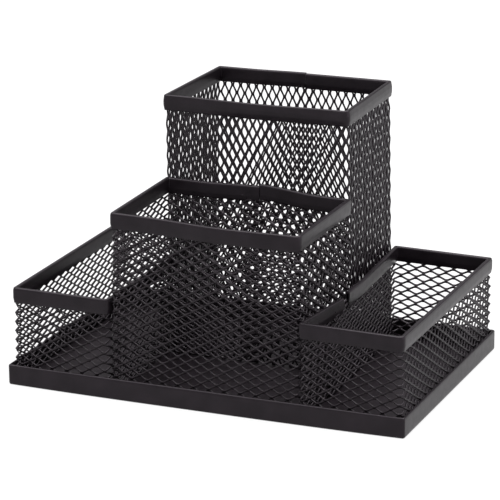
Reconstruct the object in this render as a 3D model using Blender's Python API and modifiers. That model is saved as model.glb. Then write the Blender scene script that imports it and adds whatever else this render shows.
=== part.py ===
"""Desk organizer of black coated steel mesh, made for Blender 4.5.

A pressed steel pan carries four open compartments: a low tray at each end, a middle
cup at the front and a tall cup behind it. Each compartment is one strip of expanded
steel mesh wrapped into a rounded rectangle, with a folded U-section rim pressed over
its top edge. The mesh is modelled as a plain closed band of its true outer size.

Units are metres and +Z is up. X runs to the right and -Y is the front. The origin is
the middle of the pan's underside.
"""

import math

import bmesh
import bpy

MM = 0.001

# Overall size
WIDTH = 153.0 * MM
DEPTH = 102.0 * MM
HEIGHT = 100.0 * MM

# Gap kept between pieces that touch
CLEARANCE = 0.3 * MM

# Pan: a flat floor with an upright lip, folded double along its top
PAN_SHEET = 0.6 * MM
PAN_LIP_HEIGHT = 7.6 * MM
PAN_LIP_THICKNESS = 1.1 * MM
PAN_CORNER_RADIUS = 2.6 * MM
PAN_EDGE_RADIUS = 0.5 * MM

# Rims: sheet folded over the mesh into an upside-down U
RIM_SHEET = 0.5 * MM
RIM_THICKNESS = 2.6 * MM
RIM_HEIGHT = 6.0 * MM
RIM_CORNER_RADIUS = 3.2 * MM
RIM_INSET = 1.4 * MM
RIM_JOINT_GAP = 0.35 * MM

# Mesh band: the thickness over the tilted strands
MESH_THICKNESS = 1.0 * MM

# Layout of the compartments, measured over their rims
TRAY_WIDTH = 39.0 * MM
TRAY_HEIGHT = 37.0 * MM
MIDDLE_HEIGHT = 68.4 * MM
CUP_SIDE_GAP = 0.4 * MM
MIDDLE_DEPTH = 51.2 * MM

# The right tray's inner wall is pushed in where the ends of its strip meet
BOW_AT_RIM = 4.0 * MM
BOW_AT_FLOOR = 1.5 * MM
BOWED_JOINT_FROM_FRONT = 35.0 * MM
BOWED_JOINT_GAP = 5.0 * MM

# Smoothness of the round parts
CORNER_STEPS = 6
FOLD_STEPS = 4

BLACK = (0.030, 0.030, 0.032, 1.0)
MESH_BLACK = (0.036, 0.035, 0.037, 1.0)


class Compartment:
    """A rounded rectangle in plan, given by its rim's outer faces."""

    def __init__(self, name, low, high, height, joint_side, joint=None, gap=RIM_JOINT_GAP, bow=(0.0, 0.0)):
        self.name = name
        self.low = low
        self.high = high
        self.height = height
        self.joint_side = joint_side
        self.gap = gap
        self.bow = bow
        along_x = joint_side == "back"
        middle = (low[0] + high[0]) / 2 if along_x else (low[1] + high[1]) / 2
        self.joint = middle if joint is None else joint


def layout():
    """The four compartments, front left to back."""
    left = -WIDTH / 2 + RIM_INSET
    right = WIDTH / 2 - RIM_INSET
    front = -DEPTH / 2 + RIM_INSET
    back = DEPTH / 2 - RIM_INSET
    mesh_inset = (RIM_THICKNESS - MESH_THICKNESS) / 2
    cup_left = left + TRAY_WIDTH + CUP_SIDE_GAP - mesh_inset
    cup_right = -cup_left
    middle_back = front + MIDDLE_DEPTH
    tall_front = middle_back + CUP_SIDE_GAP - mesh_inset
    return [
        Compartment("left_tray", (left, front), (left + TRAY_WIDTH, back), TRAY_HEIGHT, "right"),
        Compartment("middle_cup", (cup_left, front), (cup_right, middle_back), MIDDLE_HEIGHT, "back"),
        Compartment(
            "right_tray",
            (right - TRAY_WIDTH, front),
            (right, back),
            TRAY_HEIGHT,
            "left",
            joint=-DEPTH / 2 + BOWED_JOINT_FROM_FRONT,
            gap=BOWED_JOINT_GAP,
            bow=(BOW_AT_FLOOR, BOW_AT_RIM),
        ),
        Compartment("tall_cup", (cup_left, tall_front), (cup_right, back), HEIGHT, "back"),
    ]


def outline(compartment, inset, bow):
    """Points anticlockwise round a compartment, from one side of its joint to the other."""
    x0, y0 = (value + inset for value in compartment.low)
    x1, y1 = (value - inset for value in compartment.high)
    radius = RIM_CORNER_RADIUS - inset
    corners = [
        (x1 - radius, y1 - radius, 0),
        (x0 + radius, y1 - radius, 90),
        (x0 + radius, y0 + radius, 180),
        (x1 - radius, y0 + radius, 270),
    ]
    first = {"right": 0, "back": 1, "left": 2}[compartment.joint_side]
    points = []
    for cx, cy, start in corners[first:] + corners[:first]:
        for step in range(CORNER_STEPS + 1):
            angle = math.radians(start + 90 * step / CORNER_STEPS)
            points.append((cx + radius * math.cos(angle), cy + radius * math.sin(angle)))
    before = compartment.joint - compartment.gap / 2
    after = compartment.joint + compartment.gap / 2
    ends = {
        "right": [(x1, after), (x1, before)],
        "back": [(before, y1), (after, y1)],
        "left": [(x0 + bow, before), (x0 + bow, after)],
    }[compartment.joint_side]
    return [ends[0], *points, ends[1]]


def sweep(rows, closed):
    """An open sheet through rows of points that all have the same count."""
    mesh = bpy.data.meshes.new("sheet")
    bm = bmesh.new()
    grid = [[bm.verts.new(point) for point in row] for row in rows]
    count = len(rows[0])
    for lower, upper in zip(grid, grid[1:]):
        for i in range(count if closed else count - 1):
            j = (i + 1) % count
            bm.faces.new((lower[i], lower[j], upper[j], upper[i]))
    bm.to_mesh(mesh)
    bm.free()
    return mesh


def coat(name, colour, roughness):
    """Black powder coat on steel."""
    material = bpy.data.materials.new(name)
    material.use_nodes = True
    shader = material.node_tree.nodes["Principled BSDF"]
    shader.inputs["Base Color"].default_value = colour
    shader.inputs["Roughness"].default_value = roughness
    shader.inputs["Metallic"].default_value = 0.0
    return material


def add_object(name, mesh, material, collection):
    """A named object with its own material, in a collection."""
    mesh.name = name
    mesh.materials.append(material)
    piece = bpy.data.objects.new(name, mesh)
    collection.objects.link(piece)
    return piece


def thicken(piece, thickness):
    """Give a middle surface its sheet thickness, half on each side."""
    modifier = piece.modifiers.new("thickness", "SOLIDIFY")
    modifier.thickness = thickness
    modifier.offset = 0.0
    modifier.use_even_offset = True
    piece.data.shade_smooth()
    piece.data.set_sharp_from_angle(angle=math.radians(40))


def mesh_band(compartment, collection):
    """The wrapped mesh strip, as a plain band closed round the compartment."""
    inset = RIM_THICKNESS / 2
    bow_floor, bow_rim = compartment.bow
    levels = [
        (PAN_SHEET + CLEARANCE, bow_floor),
        (compartment.height - RIM_HEIGHT - CLEARANCE, bow_rim),
        (compartment.height - inset - 0.1 * MM, bow_rim),
    ]
    rows = [[(x, y, z) for x, y in outline(compartment, inset, bow)] for z, bow in levels]
    name = compartment.name + "_mesh"
    piece = add_object(name, sweep(rows, True), coat(name, MESH_BLACK, 0.42), collection)
    thicken(piece, MESH_THICKNESS)
    return piece


def fold_profile(height):
    """The U's middle surface, as (inset from the outer face, level), outside to inside."""
    half_sheet = RIM_SHEET / 2
    radius = RIM_THICKNESS / 2 - half_sheet
    centre = RIM_THICKNESS / 2
    bottom = height - RIM_HEIGHT
    profile = [(half_sheet, bottom)]
    for step in range(FOLD_STEPS + 1):
        angle = math.pi * (1 - step / FOLD_STEPS)
        profile.append((centre + radius * math.cos(angle), height - centre + radius * math.sin(angle)))
    profile.append((RIM_THICKNESS - half_sheet, bottom))
    return profile


def rim(compartment, collection):
    """The U-section strip bent round the compartment, cut where its ends meet."""
    bow = compartment.bow[1]
    rows = [
        [(x, y, z) for x, y in outline(compartment, inset, bow)]
        for inset, z in fold_profile(compartment.height)
    ]
    name = compartment.name + "_rim"
    piece = add_object(name, sweep(rows, False), coat(name, BLACK, 0.38), collection)
    thicken(piece, RIM_SHEET)
    return piece


def box(name, low, high, corner_radius, edge_radius, material, collection):
    """A box with rounded upright corners and a rounded bottom edge."""
    mesh = bpy.data.meshes.new(name)
    bm = bmesh.new()
    bmesh.ops.create_cube(bm, size=1.0)
    for vert in bm.verts:
        vert.co = [low[i] + (vert.co[i] + 0.5) * (high[i] - low[i]) for i in range(3)]
    upright = [e for e in bm.edges if abs(e.verts[0].co.z - e.verts[1].co.z) > 1e-6]
    bmesh.ops.bevel(bm, geom=upright, offset=corner_radius, segments=CORNER_STEPS, profile=0.5, affect="EDGES")
    bottom = [e for e in bm.edges if all(v.co.z < low[2] + 1e-6 for v in e.verts) and len(e.link_faces) == 2]
    bmesh.ops.bevel(bm, geom=bottom, offset=edge_radius, segments=2, profile=0.5, affect="EDGES")
    bm.to_mesh(mesh)
    bm.free()
    return add_object(name, mesh, material, collection)


def pan(collection, cutters):
    """The base: a box with a pocket that leaves the floor sheet and the lip."""
    half = (WIDTH / 2, DEPTH / 2)
    material = coat("base_pan", BLACK, 0.40)
    low = (-half[0], -half[1], 0.0)
    high = (half[0], half[1], PAN_LIP_HEIGHT)
    piece = box("base_pan", low, high, PAN_CORNER_RADIUS, PAN_EDGE_RADIUS, material, collection)
    inner_low = (-half[0] + PAN_LIP_THICKNESS, -half[1] + PAN_LIP_THICKNESS, PAN_SHEET)
    inner_high = (half[0] - PAN_LIP_THICKNESS, half[1] - PAN_LIP_THICKNESS, PAN_LIP_HEIGHT + 2 * MM)
    inner_radius = PAN_CORNER_RADIUS - PAN_LIP_THICKNESS
    pocket = box("pan_pocket", inner_low, inner_high, inner_radius, PAN_EDGE_RADIUS / 2, material, cutters)
    pocket.hide_render = True
    pocket.display_type = "WIRE"
    cut = piece.modifiers.new("pocket", "BOOLEAN")
    cut.operation = "DIFFERENCE"
    cut.object = pocket
    return piece


def clear_scene():
    for item in list(bpy.data.objects):
        bpy.data.objects.remove(item, do_unlink=True)


def new_collection(name):
    collection = bpy.data.collections.new(name)
    bpy.context.scene.collection.children.link(collection)
    return collection


def main():
    clear_scene()
    organizer = new_collection("desk_organizer")
    cutters = new_collection("cutters")
    pan(organizer, cutters)
    for compartment in layout():
        mesh_band(compartment, organizer)
        rim(compartment, organizer)


main()
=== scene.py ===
"""Looks of the desk organizer: black powder-coated steel, raised expanded mesh, folded rims.

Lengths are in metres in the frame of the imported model. X runs to the right, -Y is the
front and +Z is up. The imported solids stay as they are: every visible piece stands in
for one of them, and takes its place from that node's box.
"""

import math

import bpy
import numpy as np
from mathutils import Matrix, Vector


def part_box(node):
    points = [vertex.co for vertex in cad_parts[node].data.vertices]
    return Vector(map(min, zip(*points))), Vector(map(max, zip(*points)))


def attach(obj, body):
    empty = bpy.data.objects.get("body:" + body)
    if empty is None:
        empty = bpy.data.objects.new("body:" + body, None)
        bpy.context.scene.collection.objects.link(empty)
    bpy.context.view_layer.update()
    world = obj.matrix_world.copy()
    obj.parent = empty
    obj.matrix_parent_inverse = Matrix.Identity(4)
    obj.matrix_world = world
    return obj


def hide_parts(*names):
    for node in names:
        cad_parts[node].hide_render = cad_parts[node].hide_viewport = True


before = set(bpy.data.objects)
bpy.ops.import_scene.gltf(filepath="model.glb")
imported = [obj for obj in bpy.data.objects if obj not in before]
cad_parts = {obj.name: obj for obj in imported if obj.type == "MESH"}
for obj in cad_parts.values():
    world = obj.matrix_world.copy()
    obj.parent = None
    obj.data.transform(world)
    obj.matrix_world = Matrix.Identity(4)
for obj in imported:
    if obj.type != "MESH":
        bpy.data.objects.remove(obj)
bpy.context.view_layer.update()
MM = 0.001

# Camera, as angles round the organizer and a point near its middle
CAMERA_AZIMUTH = math.radians(22.805)
CAMERA_ELEVATION = math.radians(17.048)
CAMERA_ROLL = math.radians(-0.475)
CAMERA_DISTANCE = 0.99178
CAMERA_TARGET = Vector((0.0, 0.001, 0.045))
CAMERA_SLIDE = (-0.002315, -0.000249)
CAMERA_LENS = 195.30
CAMERA_SENSOR = 36.0

# Expanded mesh: how strands ease into bonds, where the sheet runs inside the rims, how it
# bulges below them, over what height its slip sets in, and how its ends lap
EASE_LENGTH = 0.3 * MM
EASE_LOSS = 0.16
MESH_INSET = 0.95 * MM
MESH_RADIUS = 1.3 * MM
MESH_BULGE = 0.35 * MM
MESH_BULGE_RISE = 5.0 * MM
MESH_SETTLE = 30.0 * MM
MESH_GAP_ABOVE_FLOOR = 0.12 * MM
MESH_GAP_BELOW_TOP = 1.2 * MM
LAP = 7.0 * MM
LAP_LIFT = 0.55 * MM
LAP_RAMP = 9.0 * MM

# Rims: sheet folded over the mesh, with tight corners and crimped lower edges
RIM_RADIUS = 1.2 * MM
RIM_FRONT_RADIUS = 2.4 * MM
INNER_RADIUS = 0.25 * MM
RIM_THICKNESS = 1.8 * MM
RIM_HEIGHT = 5.6 * MM
RIM_DROP = 0.4 * MM
RIM_SHEET = 0.5 * MM
RIM_CRIMP = 0.3 * MM
RIM_STEP = 2.5 * MM
RIM_SHARP = math.radians(50)
JOINT_GAP = 0.3 * MM
LIFT_REACH = 24.0 * MM

# Pan: floor sheet and hemmed lip, whose front bows out at the bottom
PAN_SHEET = 0.6 * MM
PAN_RADIUS = 1.0 * MM
PAN_HEM = 1.1 * MM
PAN_BOW = 1.1 * MM
PAN_BOW_REACH = 8.0 * MM
PAN_TAPER = 0.35 * MM
PAN_STEP = 4.0 * MM
PAN_SHARP = math.radians(40)
CORNER_STEPS = 12

# Dents: how far from the wall they act fully, and how far on they fade
DENT_DEPTH = 4.0 * MM
DENT_FADE = 8.0 * MM

# Powder coat: noise scales per metre, the bump's depth and how far the gloss wanders
DUST_SCALE = 140.0
GLOSS_SCALE = 420.0
PEEL_SCALE = 2600.0
PEEL_DEPTH = 0.04 * MM
GLOSS_LESS = 0.07
GLOSS_MORE = 0.09
SHEET_COAT = {
    "colour": (0.0054, 0.0042, 0.0052),
    "roughness": 0.32,
    "specular": 0.18,
    "grain": 0.35,
}
STRAND_COAT = {
    "colour": (0.0045, 0.0034, 0.0043),
    "roughness": 0.34,
    "specular": 0.25,
    "grain": 0.2,
}

# Studio: brightness of the surroundings before and behind the organizer, and by height
WORLD_FRONT = 11.0
WORLD_BACK = 5.5
WORLD_TURN = 0.6
WORLD_HEIGHTS = ((0.05, 0.14), (0.16, 0.04), (0.5, 0.045), (0.75, 0.55))
WORLD_LOWEST = 0.18
WORLD_HIGHEST = 0.6
WORLD_COLOUR = (1.0, 0.98, 1.0, 1.0)
WHITE = (1.0, 1.0, 1.0, 1.0)
PAPER_SIZE = 8.0
PAPER_DROP = 0.05 * MM
PAPER_GREY = 0.09
PAPER_GLOW = 0.8


def smooth(value):
    """Ease from 0 to 1."""
    value = np.clip(value, 0.0, 1.0)
    return value * value * (3.0 - 2.0 * value)


class Weave:
    """Diamonds of the expanded mesh, and the section of a strand with its top edge turned out."""

    def __init__(self, long_way, short_way, width, thickness, tilt, bond):
        self.long_way = long_way * MM
        self.short_way = short_way * MM
        self.bond = bond * MM
        tilt = math.radians(tilt)
        self.up = width * MM * math.cos(tilt) / 2
        self.out = width * MM * math.sin(tilt) / 2
        self.thick_up = -thickness * MM * math.sin(tilt) / 2
        self.thick_out = thickness * MM * math.cos(tilt) / 2


LEVEL_WEAVE = Weave(6.0, 3.47, width=0.77, thickness=0.36, tilt=33.0, bond=0.8)
UPRIGHT_WEAVE = Weave(6.0, 3.37, width=0.66, thickness=0.43, tilt=10.5, bond=0.6)


class Wrap:
    """A rounded rectangle, measured anticlockwise along its length from a point on one side."""

    def __init__(self, low, high, radius, front_right_radius, side, start):
        x0, y0, x1, y1 = low[0], low[1], high[0], high[1]
        wide = front_right_radius
        straight = {
            "right": ((x1, y0 + wide), (x1, y1 - radius)),
            "back": ((x1 - radius, y1), (x0 + radius, y1)),
            "left": ((x0, y1 - radius), (x0, y0 + radius)),
            "front": ((x0 + radius, y0), (x1 - wide, y0)),
        }
        corner = {
            "right": (x1 - radius, y1 - radius, 0.0, radius),
            "back": (x0 + radius, y1 - radius, 90.0, radius),
            "left": (x0 + radius, y0 + radius, 180.0, radius),
            "front": (x1 - wide, y0 + wide, 270.0, wide),
        }
        order = ["right", "back", "left", "front"]
        first = order.index(side)
        order = order[first:] + order[:first]
        head, tail = (np.array(point) for point in straight[side])
        split = np.array((head[0], start) if side in ("left", "right") else (start, head[1]))
        self.parts = [("line", split, tail)]
        for name in order:
            if name != side:
                self.parts.append(("line", *(np.array(point) for point in straight[name])))
            self.parts.append(("arc", np.array(corner[name][:2]), *corner[name][2:]))
        self.parts.append(("line", head, split))
        self.lengths = [
            np.linalg.norm(part[2] - part[1]) if part[0] == "line" else part[3] * math.pi / 2
            for part in self.parts
        ]
        self.ends = np.cumsum([0.0, *self.lengths])
        self.length = self.ends[-1]

    def at(self, distance, inset=0.0):
        """Points and outward normals at distances along the wrap, moved in by the inset.

        Corners keep a small radius where the inset is larger than their own.
        """
        distance = np.mod(np.asarray(distance, float), self.length)
        points = np.zeros(distance.shape + (2,))
        normals = np.zeros(distance.shape + (2,))
        spans = zip(self.parts, self.ends, self.ends[1:])
        for part, begin, end in sorted(spans, key=lambda span: span[0][0] == "arc"):
            here = (distance >= begin) & (distance <= end)
            along = distance[here] - begin
            if part[0] == "line":
                way = (part[2] - part[1]) / max(end - begin, 1e-12)
                normal = np.array((way[1], -way[0]))
                points[here] = part[1] + along[:, None] * way - inset * normal
                normals[here] = normal
            else:
                angle = math.radians(part[2]) + along / part[3]
                out = np.stack([np.cos(angle), np.sin(angle)], -1)
                middle = math.radians(part[2] + 45.0)
                radius = max(part[3] - inset, INNER_RADIUS)
                diagonal = math.sqrt(2.0) * np.array((math.cos(middle), math.sin(middle)))
                points[here] = part[1] + (part[3] - inset - radius) * diagonal + radius * out
                normals[here] = out
        return points, normals

    def samples(self, step, corner_steps):
        """Distances that follow the straights in even steps and the corners more closely."""
        marks = []
        for part, begin, end in zip(self.parts, self.ends, self.ends[1:]):
            count = corner_steps if part[0] == "arc" else max(1, round((end - begin) / step))
            marks.extend(np.linspace(begin, end, count, endpoint=False))
        marks.append(self.length)
        return np.array(marks)


class Compartment:
    """One of the four wrapped compartments, with the small bends that its strip has taken.

    Corners are millimetres that each top corner has moved, front left first and then
    anticlockwise. Slip is millimetres that the mesh is moved along, moved up, and tipped
    down towards the back. Lifts raise the rim's two cut ends.
    """

    def __init__(
        self,
        name,
        side,
        corners,
        slip,
        joint=None,
        gap=JOINT_GAP,
        upright=False,
        dents=(),
        lifts=(0.0, 0.0),
        shoulder=(0.9, 0.15),
    ):
        self.name = name
        low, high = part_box(name + "_rim")
        self.low, self.high = np.array(low), np.array(high)
        self.top = self.high[2] - RIM_DROP
        self.side = side
        self.gap = gap
        self.upright = upright
        self.slip = np.array(slip) * MM
        self.shoulder = shoulder
        self.corners = np.array(corners) * MM
        self.dents = dents
        self.lifts = lifts
        axis = 0 if side == "back" else 1
        middle = (self.low[axis] + self.high[axis]) / 2
        self.joint = middle if joint is None else joint

    def wrap(self, inset, radius, front_right_radius):
        """The compartment's outline in plan, moved in by the inset."""
        low, high = self.low + inset, self.high - inset
        return Wrap(low, high, radius, front_right_radius, self.side, self.joint)

    def bend(self, points):
        """Move points from the true rectangle to where the bent sheet really is."""
        share = np.clip(points[..., 2] / self.top, 0.0, 1.0)
        part = np.clip((points[..., :2] - self.low[:2]) / (self.high - self.low)[:2], 0.0, 1.0)
        to_right, to_back = part[..., :1], part[..., 1:]
        front_left, front_right, back_right, back_left = self.corners
        front = front_left + (front_right - front_left) * to_right
        back = back_left + (back_right - back_left) * to_right
        moved = points + (front + (back - front) * to_back) * share[..., None]
        for dent in self.dents:
            moved += dent.shift(points, share, self.low, self.high)
        return moved


class Dent:
    """A place where one wall is pushed, most at one point along it and nothing at its ends."""

    def __init__(self, side, at, push, at_floor=0.0, reach=None, above=0.0):
        self.side = side
        self.at = at
        self.push = push
        self.at_floor = at_floor
        self.above = above
        self.reach = reach

    def shift(self, points, share, low, high):
        """How far points move, given their share of the height and the wall's box."""
        along, across = (1, 0) if self.side in ("left", "right") else (0, 1)
        place = points[..., along]
        first, last = low[along] + RIM_RADIUS, high[along] - RIM_RADIUS
        if self.reach:
            tent = smooth(1.0 - np.abs(place - self.at) / self.reach)
        else:
            before = (place - first) / (self.at - first)
            after = (last - place) / (last - self.at)
            tent = np.clip(np.where(place < self.at, before, after), 0.0, 1.0)
        wall = low[across] if self.side in ("left", "front") else high[across]
        distance = np.abs(points[..., across] - wall)
        near = np.clip(1.0 - (distance - DENT_DEPTH) / DENT_FADE, 0.0, 1.0)
        weight = tent * near
        out = -1.0 if self.side in ("left", "front") else 1.0
        height = np.clip((share - self.above) / (1.0 - self.above), 0.0, 1.0)
        rise = self.at_floor + (1.0 - self.at_floor) * height
        moved = np.zeros_like(points)
        moved[..., across] = out * self.push * weight * rise
        return moved


def make_mesh(name, points, faces):
    """A mesh from points and faces, shaded smooth."""
    mesh = bpy.data.meshes.new(name)
    mesh.from_pydata([tuple(point) for point in points], [], [tuple(face) for face in faces])
    mesh.validate()
    mesh.shade_smooth()
    return mesh


def add_piece(name, mesh, material, node):
    """Put a piece in the scene, standing in for one CAD node."""
    piece = bpy.data.objects.new(name, mesh)
    bpy.context.scene.collection.objects.link(piece)
    mesh.materials.append(material)
    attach(piece, "root")
    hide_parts(node)


def strand_path(halves, weave):
    """Where a strand runs: distance along the long way, and its height from -1 to 1.

    Strands are straight between bonds and ease into them. They start and end in the
    middle of a bond.
    """
    half = weave.long_way / 2
    bond = weave.bond / 2
    along, rise = [0.0], [1.0]
    for index in range(halves):
        base = index * half
        sign = 1.0 if index % 2 == 0 else -1.0
        run = half - 2 * bond
        slope = 2.0 / run
        eased = 1.0 - slope * EASE_LENGTH * (1.0 - EASE_LOSS)
        along += [base + bond, base + bond + EASE_LENGTH]
        rise += [sign, sign * eased]
        along += [base + half - bond - EASE_LENGTH, base + half - bond]
        rise += [-sign * eased, -sign]
    along.append(halves * half)
    rise.append(rise[-1])
    return np.array(along), np.array(rise)


def lattice(halves, rows, weave):
    """One sheet of raised expanded mesh, as points and faces.

    Points are (long way, short way, out of the sheet). A strand's four corners run round
    its section, and where two rows are bonded they share two of them.
    """
    along, rise = strand_path(halves, weave)
    count = len(along)
    step = weave.short_way / 2
    half_up, half_out = weave.up, weave.out
    thick_up, thick_out = weave.thick_up, weave.thick_out
    swing = (step - 2 * half_up) / 2
    points, faces = [], []
    numbers = np.zeros((rows, count, 4), int)
    bonded = np.zeros(count, bool)
    bonded[0] = True
    bonded[1::4] = True
    bonded[4::4] = True
    for row in range(rows):
        turn = 1.0 if row % 2 == 0 else -1.0
        height = turn * rise
        for i in range(count):
            across = row * step + height[i] * swing
            out = -height[i] * half_out
            corners = (
                (across - half_up + thick_up, out - half_out + thick_out),
                (across + half_up + thick_up, out + half_out + thick_out),
                (across + half_up - thick_up, out + half_out - thick_out),
                (across - half_up - thick_up, out - half_out - thick_out),
            )
            low_bond = row > 0 and bonded[i] and height[i] < 0
            for c, (b, n) in enumerate(corners):
                if low_bond and c in (0, 3):
                    numbers[row, i, c] = numbers[row - 1, i, 1 if c == 0 else 2]
                else:
                    numbers[row, i, c] = len(points)
                    points.append((along[i], b, n))
        for i in range(count - 1):
            flat = bonded[i] and bonded[i + 1] and height[i] == height[i + 1]
            for c in range(4):
                if flat and c == 1 and height[i] > 0 and row < rows - 1:
                    continue
                if flat and c == 3 and height[i] < 0 and row > 0:
                    continue
                d = (c + 1) % 4
                here, there = numbers[row, i], numbers[row, i + 1]
                faces.append((here[c], there[c], there[d], here[d]))
        faces.append(tuple(numbers[row, 0, c] for c in (0, 1, 2, 3)))
        faces.append(tuple(numbers[row, count - 1, c] for c in (3, 2, 1, 0)))
    return np.array(points), faces


def mesh_piece(compartment, material):
    """The expanded mesh wrapped round a compartment, lapped where its ends meet."""
    wrap = compartment.wrap(MESH_INSET, MESH_RADIUS, MESH_RADIUS)
    floor = PAN_SHEET + MESH_GAP_ABOVE_FLOOR
    room = compartment.top - MESH_GAP_BELOW_TOP - floor
    reach = wrap.length + LAP
    weave = UPRIGHT_WEAVE if compartment.upright else LEVEL_WEAVE
    if compartment.upright:
        halves = int(room / (weave.long_way / 2))
        rows = int(reach / (weave.short_way / 2))
    else:
        halves = 2 * round(reach / weave.long_way)
        rows = int(room / (weave.short_way / 2))
    points, faces = lattice(halves, rows, weave)
    long_way, short_way, out = points[:, 0], points[:, 1], points[:, 2]
    if compartment.upright:
        around, level = short_way - short_way.min(), long_way + floor
    else:
        around, level = long_way, short_way - short_way.min() + floor
    along, up, sink = compartment.slip
    start = along - LAP / 2
    lift = LAP_LIFT * (1.0 - smooth(around / LAP_RAMP))
    lift -= LAP_LIFT * (1.0 - smooth((around.max() - around) / LAP_RAMP))
    lift += MESH_BULGE * smooth((compartment.top - RIM_HEIGHT - level) / MESH_BULGE_RISE)
    around = around + start
    flat, normals = wrap.at(around)
    flat = flat + normals * (out + lift)[:, None]
    middle = (compartment.low[1] + compartment.high[1]) / 2
    half_depth = (compartment.high[1] - compartment.low[1]) / 2
    shift = up - sink * (flat[:, 1] - middle) / half_depth
    level = level + shift * np.clip((level - floor) / MESH_SETTLE, 0.0, 1.0)
    placed = compartment.bend(np.column_stack([flat, level]))
    mesh = make_mesh(compartment.name + "_expanded_mesh", placed, faces)
    add_piece(mesh.name, mesh, material, compartment.name + "_mesh")


def rim_profile(shoulder, lean):
    """The folded section, as a closed row of (inset from the outer face, depth below the top).

    Above the shoulder the outer face leans in a little, and then turns tightly into a flat
    top. The lower edges are crimped towards the mesh.
    """
    deep = RIM_HEIGHT
    crimp = [
        (RIM_CRIMP * smooth((share - 0.66) / 0.34), share * deep)
        for share in (1.0, 0.91, 0.82, 0.72, 0.62, 0.5)
    ]
    face = [(0.0, shoulder + 0.1), (0.01, shoulder), (0.03, shoulder - 0.1), (0.9 * lean, 0.52)]
    bend = ((0.0, 0.38), (0.12, 0.23), (0.34, 0.1), (0.64, 0.02), (1.0, 0.0))
    turn = [(lean + share * 0.4, depth) for share, depth in bend]
    top = [(1.15, 0.0), (1.4, 0.03), (1.58, 0.12), (1.71, 0.3)]
    top += [(1.78, 0.55), (1.8, 0.9), (1.8, 1.4)]
    outside = crimp + [(inset * MM, depth * MM) for inset, depth in face + turn + top]
    outside += [(RIM_THICKNESS - inset, depth) for inset, depth in reversed(crimp)]
    far, near = RIM_THICKNESS - RIM_SHEET, RIM_SHEET
    inside = [(far - RIM_CRIMP, deep), (far, 0.6 * deep), (far, 1.2 * MM)]
    inside += [(far - 0.15 * MM, 0.6 * MM), (near + (lean + 0.1) * MM, 0.6 * MM)]
    inside += [(near + lean * MM, 1.2 * MM), (near, 0.6 * deep), (near + RIM_CRIMP, deep)]
    lip = [(0.2, 0.28), (0.5, 0.38), (0.8, 0.28)]
    far_lip = [
        (RIM_THICKNESS - RIM_CRIMP - inset * RIM_SHEET, deep + depth * RIM_SHEET)
        for inset, depth in lip
    ]
    near_lip = [
        (RIM_CRIMP + inset * RIM_SHEET, deep + depth * RIM_SHEET) for inset, depth in reversed(lip)
    ]
    return np.array(outside + far_lip + inside + near_lip, float)


def rim_piece(compartment, material):
    """The U-section strip bent round the compartment."""
    wrap = compartment.wrap(0.0, RIM_RADIUS, RIM_FRONT_RADIUS)
    profile = rim_profile(*compartment.shoulder)
    first, last = compartment.gap / 2, wrap.length - compartment.gap / 2
    marks = wrap.samples(RIM_STEP, CORNER_STEPS)
    marks = np.array([first, *marks[(marks > first) & (marks < last)], last])
    lift = compartment.lifts[0] * (1.0 - smooth(marks / LIFT_REACH))
    lift += compartment.lifts[1] * (1.0 - smooth((wrap.length - marks) / LIFT_REACH))
    rings = []
    for inset, depth in profile:
        ring, _ = wrap.at(marks, inset)
        level = compartment.top - depth + lift
        rings.append(compartment.bend(np.column_stack([ring, level])))
    rings = np.array(rings)
    around, along = rings.shape[:2]
    faces = []
    for i in range(around):
        j = (i + 1) % around
        for k in range(along - 1):
            faces.append((i * along + k, i * along + k + 1, j * along + k + 1, j * along + k))
    faces.append(tuple(i * along for i in range(around)))
    faces.append(tuple(i * along + along - 1 for i in reversed(range(around))))
    mesh = make_mesh(compartment.name + "_folded_rim", rings.reshape(-1, 3), faces)
    mesh.set_sharp_from_angle(angle=RIM_SHARP)
    add_piece(mesh.name, mesh, material, compartment.name + "_rim")


def pan_profile(top):
    """The pan's section, as (inset, level) from under the floor over the lip to the floor."""
    under = [(1.6, 0.0), (0.8, 0.0), (0.45, 0.06), (0.2, 0.2), (0.06, 0.45), (0.0, 0.8)]
    profile = [(inset * MM, level * MM) for inset, level in under]
    profile += [(0.0, share * top) for share in (0.25, 0.4, 0.55, 0.7, 0.82)]
    radius = PAN_HEM / 2
    for step in range(1, 10):
        angle = math.pi * (1 - step / 10)
        out, up = radius * math.cos(angle), radius * math.sin(angle)
        profile.append((radius + out, top - radius + up))
    profile += [(PAN_HEM, share * top) for share in (0.8, 0.6, 0.4, 0.3)]
    profile += [(PAN_HEM - 0.05 * MM, 0.255 * top), (PAN_HEM - 0.2 * MM, 0.235 * top)]
    sheet = PAN_SHEET
    profile += [(sheet, 0.23 * top), (sheet, 0.19 * top)]
    bend = ((0.05, 0.5), (0.2, 0.2), (0.5, 0.05), (0.9, 0.0))
    profile += [(sheet + inset * MM, sheet + level * MM) for inset, level in bend]
    profile.append((2.4 * MM, sheet))
    return profile


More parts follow.
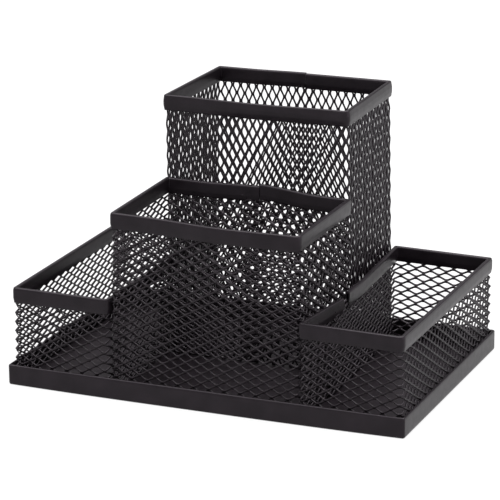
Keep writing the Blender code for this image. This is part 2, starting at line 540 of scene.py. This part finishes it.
def pan_piece(material):
    """The pan: one sheet with its edge bent up and hemmed."""
    low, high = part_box("base_pan")
    low, high = np.array(low), np.array(high)
    top = high[2]
    profile = pan_profile(top)
    wrap = Wrap(low, high, PAN_RADIUS, PAN_RADIUS, "back", 0.0)
    marks = wrap.samples(PAN_STEP, CORNER_STEPS)[:-1]
    around = len(marks)
    rings = np.array(
        [
            np.column_stack([wrap.at(marks, inset)[0], np.full(around, level)])
            for inset, level in profile
        ]
    )
    across = 2.0 * (rings[..., 0] - (low[0] + high[0]) / 2) / (high[0] - low[0])
    front = np.clip(1.0 - (rings[..., 1] - low[1]) / PAN_BOW_REACH, 0.0, 1.0)
    rings[..., 1] -= PAN_BOW * front * (1.0 - np.abs(across) ** 3) * (1.0 - rings[..., 2] / top)
    rings[..., 0] -= PAN_TAPER * smooth(across)
    faces = []
    for i in range(len(profile) - 1):
        here, there = i * around, (i + 1) * around
        for k in range(around):
            m = (k + 1) % around
            faces.append((here + k, here + m, there + m, there + k))
    last = (len(profile) - 1) * around
    faces.append(tuple(reversed(range(around))))
    faces.append(tuple(last + k for k in range(around)))
    mesh = make_mesh("base_hemmed_pan", rings.reshape(-1, 3), faces)
    mesh.set_sharp_from_angle(angle=PAN_SHARP)
    add_piece(mesh.name, mesh, material, "base_pan")


def powder_coat(name, colour, roughness, specular, grain):
    """Black powder coat: a fine orange peel, faint dust and slightly uneven gloss."""
    material = bpy.data.materials.new(name)
    material.use_nodes = True
    nodes, links = material.node_tree.nodes, material.node_tree.links
    shader = nodes["Principled BSDF"]
    shader.inputs["Specular IOR Level"].default_value = specular
    shader.inputs["Specular Tint"].default_value = (1.0, 0.92, 0.99, 1.0)
    where = nodes.new("ShaderNodeTexCoord")

    def noise(scale, detail):
        texture = nodes.new("ShaderNodeTexNoise")
        texture.inputs["Scale"].default_value = scale
        texture.inputs["Detail"].default_value = detail
        links.new(where.outputs["Object"], texture.inputs["Vector"])
        return texture.outputs["Fac"]

    def ramp(source, low, high, first, second):
        node = nodes.new("ShaderNodeValToRGB")
        node.color_ramp.elements[0].position = low
        node.color_ramp.elements[1].position = high
        node.color_ramp.elements[0].color = first
        node.color_ramp.elements[1].color = second
        links.new(source, node.inputs["Fac"])
        return node.outputs["Color"]

    light = tuple(min(1.0, value * 1.5) for value in colour) + (1.0,)
    dark = tuple(value * 0.8 for value in colour) + (1.0,)
    dust = ramp(noise(DUST_SCALE, 4.0), 0.35, 0.75, dark, light)
    links.new(dust, shader.inputs["Base Color"])
    gloss = nodes.new("ShaderNodeMapRange")
    gloss.inputs["To Min"].default_value = roughness - GLOSS_LESS
    gloss.inputs["To Max"].default_value = roughness + GLOSS_MORE
    links.new(noise(GLOSS_SCALE, 3.0), gloss.inputs["Value"])
    links.new(gloss.outputs["Result"], shader.inputs["Roughness"])
    bump = nodes.new("ShaderNodeBump")
    bump.inputs["Strength"].default_value = grain
    bump.inputs["Distance"].default_value = PEEL_DEPTH
    links.new(noise(PEEL_SCALE, 2.0), bump.inputs["Height"])
    links.new(bump.outputs["Normal"], shader.inputs["Normal"])
    return material


def area_light(name, place, aim, size, power, colour):
    """A soft rectangular lamp that looks at a point."""
    data = bpy.data.lights.new(name, "AREA")
    data.shape = "RECTANGLE"
    data.size, data.size_y = size
    data.energy = power
    data.color = colour
    lamp = bpy.data.objects.new(name, data)
    bpy.context.scene.collection.objects.link(lamp)
    lamp.location = place
    lamp.rotation_euler = (Vector(aim) - Vector(place)).to_track_quat("-Z", "Y").to_euler()


def paper_floor():
    """A pale paper floor, nearly white by itself."""
    bpy.ops.mesh.primitive_plane_add(size=PAPER_SIZE, location=(0.0, 0.0, -PAPER_DROP))
    floor = bpy.context.object
    floor.name = "studio_floor"
    paper = bpy.data.materials.new("studio_paper")
    paper.use_nodes = True
    shader = paper.node_tree.nodes["Principled BSDF"]
    shader.inputs["Base Color"].default_value = (PAPER_GREY, PAPER_GREY, PAPER_GREY, 1.0)
    shader.inputs["Emission Color"].default_value = WHITE
    shader.inputs["Emission Strength"].default_value = PAPER_GLOW
    shader.inputs["Roughness"].default_value = 0.9
    shader.inputs["Specular IOR Level"].default_value = 0.1
    floor.data.materials.append(paper)


def surroundings():
    """White walls to the camera; as light, brighter in front and overhead than behind."""
    world = bpy.data.worlds.new("studio_world")
    bpy.context.scene.world = world
    world.use_nodes = True
    nodes, links = world.node_tree.nodes, world.node_tree.links
    around = nodes["Background"]
    where = nodes.new("ShaderNodeTexCoord")
    split = nodes.new("ShaderNodeSeparateXYZ")
    links.new(where.outputs["Generated"], split.inputs[0])
    depth = nodes.new("ShaderNodeMapRange")
    depth.interpolation_type = "SMOOTHSTEP"
    depth.inputs["From Min"].default_value = -WORLD_TURN
    depth.inputs["From Max"].default_value = WORLD_TURN
    depth.inputs["To Min"].default_value = WORLD_FRONT
    depth.inputs["To Max"].default_value = WORLD_BACK
    links.new(split.outputs["Y"], depth.inputs["Value"])
    rise = nodes.new("ShaderNodeValToRGB")
    stops = rise.color_ramp.elements
    stops[0].position = 0.0
    stops[0].color = (WORLD_LOWEST, WORLD_LOWEST, WORLD_LOWEST, 1.0)
    stops[1].position = 1.0
    stops[1].color = (WORLD_HIGHEST, WORLD_HIGHEST, WORLD_HIGHEST, 1.0)
    for height, value in WORLD_HEIGHTS:
        stops.new(height).color = (value, value, value, 1.0)
    links.new(split.outputs["Z"], rise.inputs["Fac"])
    product = nodes.new("ShaderNodeMath")
    product.operation = "MULTIPLY"
    links.new(depth.outputs["Result"], product.inputs[0])
    links.new(rise.outputs["Color"], product.inputs[1])
    links.new(product.outputs[0], around.inputs["Strength"])
    around.inputs["Color"].default_value = WORLD_COLOUR
    seen = nodes.new("ShaderNodeBackground")
    seen.inputs["Color"].default_value = WHITE
    seen.inputs["Strength"].default_value = 1.0
    path = nodes.new("ShaderNodeLightPath")
    mix = nodes.new("ShaderNodeMixShader")
    links.new(path.outputs["Is Camera Ray"], mix.inputs[0])
    links.new(around.outputs[0], mix.inputs[1])
    links.new(seen.outputs[0], mix.inputs[2])
    links.new(mix.outputs[0], nodes["World Output"].inputs["Surface"])


def studio():
    """Pale floor, white surroundings and soft lamps."""
    paper_floor()
    surroundings()
    middle = (0.0, 0.0, 0.04)
    area_light("key_right", (1.1, 0.1, 0.30), middle, (1.0, 0.6), 3.0, (1.0, 0.86, 1.0))
    area_light("top", (0.1, 0.3, 1.2), middle, (1.0, 1.0), 18.0, (1.0, 1.0, 1.0))
    bpy.context.scene.view_settings.view_transform = "Standard"


def camera():
    """The camera, turned round the organizer and rolled a little."""
    azimuth, elevation = CAMERA_AZIMUTH, CAMERA_ELEVATION
    right = Vector((math.cos(azimuth), math.sin(azimuth), 0.0))
    back = Vector(
        (
            math.sin(azimuth) * math.cos(elevation),
            -math.cos(azimuth) * math.cos(elevation),
            math.sin(elevation),
        )
    )
    up = back.cross(right)
    turned_right = math.cos(CAMERA_ROLL) * right + math.sin(CAMERA_ROLL) * up
    turned_up = -math.sin(CAMERA_ROLL) * right + math.cos(CAMERA_ROLL) * up
    target = CAMERA_TARGET + right * CAMERA_SLIDE[0] + up * CAMERA_SLIDE[1]
    data = bpy.data.cameras.new("camera")
    data.lens = CAMERA_LENS
    data.sensor_width = CAMERA_SENSOR
    data.clip_start = 0.01
    data.clip_end = 50.0
    view = bpy.data.objects.new("camera", data)
    bpy.context.scene.collection.objects.link(view)
    axes = Matrix((turned_right, turned_up, back)).transposed().to_4x4()
    axes.translation = target + back * CAMERA_DISTANCE
    view.matrix_world = axes
    bpy.context.scene.camera = view


def main():
    """Build the studio, the four compartments and the pan."""
    camera()
    studio()
    rim_coat = powder_coat("rim_powder_coat", **SHEET_COAT)
    mesh_coat = powder_coat("mesh_powder_coat", **STRAND_COAT)
    pan_coat = powder_coat("pan_powder_coat", **SHEET_COAT)
    compartments = [
        Compartment(
            "left_tray",
            "right",
            corners=[(0.65, 0.0, 0.1), (0.0, 0.0, -0.2), (-0.4, 0.0, 0.0), (0.3, 0.0, 0.4)],
            slip=(-1.5, -0.5, 0.0),
        ),
        Compartment(
            "middle_cup",
            "back",
            corners=[(1.6, 0.0, 0.9), (0.7, 0.0, -0.25), (0.5, 0.0, -0.25), (0.5, 0.3, 0.95)],
            joint=1.35 * MM,
            slip=(3.35, 0.45, 0.0),
            dents=[Dent("front", 7.0 * MM, 2.0 * MM, reach=30.0 * MM)],
            lifts=(0.85 * MM, 1.65 * MM),
        ),
        Compartment(
            "right_tray",
            "left",
            corners=[(0.3, 0.0, 0.2), (0.0, 0.0, -0.4), (0.1, 0.0, -0.35), (0.2, 0.0, 0.2)],
            joint=-16.0 * MM,
            slip=(3.0, 0.1, 0.0),
            gap=5.0 * MM,
            dents=[Dent("left", -16.0 * MM, -4.0 * MM, at_floor=0.375)],
            lifts=(0.0, 1.0 * MM),
        ),
        Compartment(
            "tall_cup",
            "back",
            corners=[(-0.4, 0.0, 0.15), (-0.85, 0.0, 0.2), (-1.5, 0.3, 0.8), (0.85, 1.2, 0.5)],
            joint=1.1 * MM,
            slip=(1.0, -0.1, 0.8),
            shoulder=(2.1, 0.28),
            upright=True,
            dents=[Dent("front", 0.0, 1.5 * MM, reach=32.0 * MM, above=0.67)],
            lifts=(0.3 * MM, 0.0),
        ),
    ]
    for compartment in compartments:
        mesh_piece(compartment, mesh_coat)
        rim_piece(compartment, rim_coat)
    pan_piece(pan_coat)


main()
